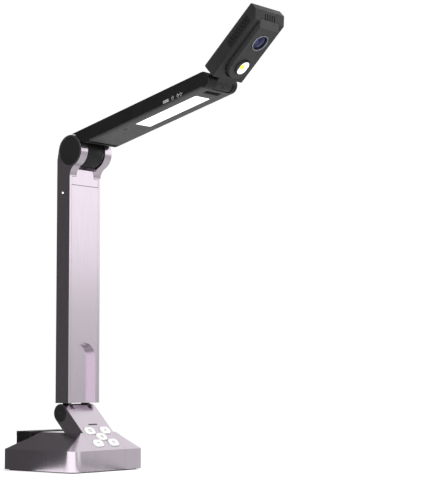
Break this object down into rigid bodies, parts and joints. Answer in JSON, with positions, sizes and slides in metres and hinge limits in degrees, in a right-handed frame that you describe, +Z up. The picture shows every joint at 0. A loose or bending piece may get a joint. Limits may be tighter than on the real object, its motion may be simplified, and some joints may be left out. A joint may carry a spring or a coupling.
{
  "type": "document camera",
  "caption": "Folding desk document camera with a weighted base, keypad neck, folding column, lamp arm and tilting camera head.",
  "frame": {"origin": "middle of the base, on the surface that it stands on", "axes": "+Z up, -Y the way the arm reaches over the page, +X to the viewer's right when facing the keys"},
  "size_m": [0.084, 0.2504, 0.3562],
  "materials": {
    "silver_cover": "metallic lilac-silver paint over moulded plastic, satin",
    "black_cover": "fine grained black plastic",
    "grey_cover": "satin dark grey plastic",
    "cap_black": "smooth satin black plastic",
    "hinge_leaf": "black painted steel",
    "key_white": "white moulded plastic with grey symbols",
    "rubber": "soft black rubber",
    "steel": "plated steel",
    "circuit_board": "green solder mask",
    "switch_grey": "grey plastic",
    "led_white": "white",
    "diffuser": "frosted white panel, lit evenly",
    "lens_metal": "turned metal",
    "lens_black": "black",
    "lens_glass": "blue coated glass",
    "reflector": "bright white dish",
    "flash_yellow": "yellow light chip"
  },
  "bodies": {
    "base": {"base_shell": "silver_cover", "control_tongue": "silver_cover", "neck_rear_cover": "silver_cover", "bottom_cover": "black_cover", "ballast_plate": "steel", "rubber_pad": "rubber", "base_screws": "steel", "rear_port_block": "black_cover", "usb_socket": "steel", "main_board": "circuit_board", "keypad_board": "circuit_board", "key_switches": "switch_grey", "status_window": "cap_black", "lower_hinge_shaft": "steel", "lower_friction_washers": "steel", "lower_cap_left": "cap_black", "lower_cap_right": "cap_black"},
    "column": {"column_shell": "silver_cover", "column_front_panel": "silver_cover", "saddle_cover": "silver_cover", "lower_hinge_bracket": "hinge_leaf", "bracket_screws": "steel", "indicator_light": "led_white", "upper_hinge_shaft": "steel", "upper_friction_washers": "steel", "upper_cap_left": "cap_black", "upper_cap_right": "cap_black", "column_wiring": "switch_grey"},
    "arm": {"arm_upper_shell": "black_cover", "arm_lower_cover": "grey_cover", "arm_knuckle": "black_cover", "knuckle_screws": "steel", "led_board": "circuit_board", "led_chips": "led_white", "led_diffuser": "diffuser", "arm_cover_screw": "steel", "tip_hinge_pin": "steel", "arm_wiring": "switch_grey"},
    "head": {"head_knuckle": "black_cover", "head_screw": "steel", "head_body": "black_cover", "head_lid": "black_cover", "lens_pod": "black_cover", "lens_ring": "lens_metal", "lens_glass": "lens_glass", "lens_barrel": "lens_black", "sensor_board": "circuit_board", "flash_bezel": "black_cover", "flash_reflector": "reflector", "flash_chip": "flash_yellow", "side_vents": "black_cover", "microphone": "steel"},
    "key_top_left": {"key_top_left": "key_white"},
    "key_top_right": {"key_top_right": "key_white"},
    "key_centre": {"key_centre": "key_white"},
    "key_bottom_left": {"key_bottom_left": "key_white"},
    "key_bottom_right": {"key_bottom_right": "key_white"}
  },
  "joints": [
    {"name": "column_fold", "type": "hinge", "parent": "base", "child": "column", "pos_m": [0, -0.0026, 0.0465], "axis": [1, 0, 0], "range_deg": [-90, 30]},
    {"name": "arm_fold", "type": "hinge", "parent": "column", "child": "arm", "pos_m": [0, -0.012, 0.2625], "axis": [-1, 0, 0], "range_deg": [-103.5, 76]},
    {"name": "head_tilt", "type": "hinge", "parent": "arm", "child": "head", "pos_m": [0, -0.15531, 0.30385], "axis": [1, 0, 0], "range_deg": [-60, 64]},
    {"name": "key_top_left_press", "type": "slide", "parent": "base", "child": "key_top_left", "axis": [0, 0.7071, -0.7071], "range_m": [0, 0.0006], "stiffness_N_per_m": 2000},
    {"name": "key_top_right_press", "type": "slide", "parent": "base", "child": "key_top_right", "axis": [0, 0.7071, -0.7071], "range_m": [0, 0.0006], "stiffness_N_per_m": 2000},
    {"name": "key_centre_press", "type": "slide", "parent": "base", "child": "key_centre", "axis": [0, 0.7071, -0.7071], "range_m": [0, 0.0006], "stiffness_N_per_m": 2000},
    {"name": "key_bottom_left_press", "type": "slide", "parent": "base", "child": "key_bottom_left", "axis": [0, 0.7071, -0.7071], "range_m": [0, 0.0006], "stiffness_N_per_m": 2000},
    {"name": "key_bottom_right_press", "type": "slide", "parent": "base", "child": "key_bottom_right", "axis": [0, 0.7071, -0.7071], "range_m": [0, 0.0006], "stiffness_N_per_m": 2000}
  ]
}
